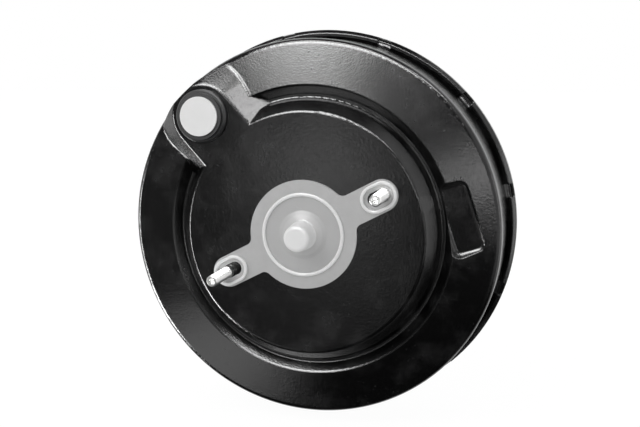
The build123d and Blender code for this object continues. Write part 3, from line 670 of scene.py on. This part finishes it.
class BOOSTER_OT_set_stage(bpy.types.Operator):
    """White floor and backdrop, soft lamps and the camera"""

    bl_idname = "booster.set_stage"
    bl_label = "Set Stage"

    def execute(self, context):
        scene = context.scene
        scene.view_settings.view_transform = "Standard"

        select_none()
        bpy.ops.mesh.primitive_grid_add(
            x_subdivisions=4,
            y_subdivisions=4,
            size=FLOOR_WIDTH,
            location=(0.0, 0.0, CAD_BOX[0][2] - FLOOR_GAP),
        )
        floor = current("studio_floor")
        floor.visible_glossy = False
        pale = Finish("studio_floor", (0.8, 0.8, 0.8), 0.9)
        seen = pale.value(pale.add("ShaderNodeLightPath").outputs["Is Camera Ray"])
        glow = pale.add("ShaderNodeEmission", Strength=1.04)
        blend = pale.add("ShaderNodeMixShader", Fac=seen * 0.93)
        pale.put(blend.inputs[1], pale.shader.outputs[0])
        pale.put(blend.inputs[2], glow.outputs[0])
        pale.put(pale.tree.nodes["Material Output"].inputs["Surface"], blend.outputs[0])
        pale.give(floor)

        world = bpy.data.worlds.new("studio")
        world.use_nodes = True
        scene.world = world
        sky = Nodes(world.node_tree)
        path = sky.add("ShaderNodeLightPath")
        ray = sky.value(path.outputs["Is Camera Ray"])
        diffuse = sky.value(path.outputs["Is Diffuse Ray"])
        towards = sky.add("ShaderNodeTexCoord").outputs["Generated"]
        x, y, z = sky.split(towards)
        left = x.smooth(-0.1, -0.5) * z.smooth(-0.5, -0.3) * 0.14
        right = x.smooth(0.3, 0.6) * z.smooth(-0.45, -0.25) * 0.9
        behind = y.smooth(0.1, 0.4) * 1.1
        light = 0.03 + left + right + behind
        # White to the camera, even light on the surfaces, and only patches in reflections
        strength = ray + diffuse * 0.62 + (1.0 - ray - diffuse) * light
        background = world.node_tree.nodes["Background"]
        sky.put(background.inputs["Color"], WHITE)
        sky.put(background.inputs["Strength"], strength)

        softbox(*KEY_LAMP, only_shine=False)
        for lamp in SHINE_LAMPS:
            softbox(*lamp)

        camera = bpy.data.cameras.new("camera")
        camera.sensor_width = SENSOR_WIDTH
        camera.lens = SENSOR_WIDTH * FOCAL_WIDTHS
        camera.clip_start = 0.01
        holder = bpy.data.objects.new("camera", camera)
        scene.collection.objects.link(holder)
        turn = Matrix((EYE_RIGHT, EYE_BACK.cross(EYE_RIGHT), EYE_BACK)).transposed()
        holder.matrix_world = Matrix.Translation(EYE) @ turn.to_4x4()
        scene.camera = holder
        return {"FINISHED"}


class BOOSTER_PT_panel(bpy.types.Panel):
    """Lists the booster's finishes and its stage"""

    bl_idname = "BOOSTER_PT_panel"
    bl_label = "Booster"
    bl_space_type = "VIEW_3D"
    bl_region_type = "UI"
    bl_category = "Booster"

    def draw(self, context):
        column = self.layout.column()
        for name, group in GROUPS.items():
            for field in group.__annotations__:
                column.prop(getattr(context.scene, name), field)
        for operator in OPERATORS:
            column.operator(operator.bl_idname)


GROUPS = {
    "booster_paint": BoosterPaint,
    "booster_moulding": BoosterMoulding,
    "booster_thread": BoosterThread,
}
OPERATORS = (
    BOOSTER_OT_paint_shells,
    BOOSTER_OT_finish_cover,
    BOOSTER_OT_finish_steel,
    BOOSTER_OT_finish_rubber,
    BOOSTER_OT_cut_threads,
    BOOSTER_OT_fold_soft_pieces,
    BOOSTER_OT_set_stage,
)


def register():
    for name, group in GROUPS.items():
        bpy.utils.register_class(group)
        setattr(bpy.types.Scene, name, bpy.props.PointerProperty(type=group))
    for operator in OPERATORS:
        bpy.utils.register_class(operator)
    bpy.utils.register_class(BOOSTER_PT_panel)


def unregister():
    bpy.utils.unregister_class(BOOSTER_PT_panel)
    for operator in reversed(OPERATORS):
        bpy.utils.unregister_class(operator)
    for name, group in GROUPS.items():
        delattr(bpy.types.Scene, name)
        bpy.utils.unregister_class(group)


def main():
    register()
    bpy.ops.booster.paint_shells()
    bpy.ops.booster.finish_cover()
    bpy.ops.booster.finish_steel()
    bpy.ops.booster.finish_rubber()
    bpy.ops.booster.cut_threads()
    bpy.ops.booster.fold_soft_pieces()
    bpy.ops.booster.set_stage()


if __name__ == "__main__":
    main()
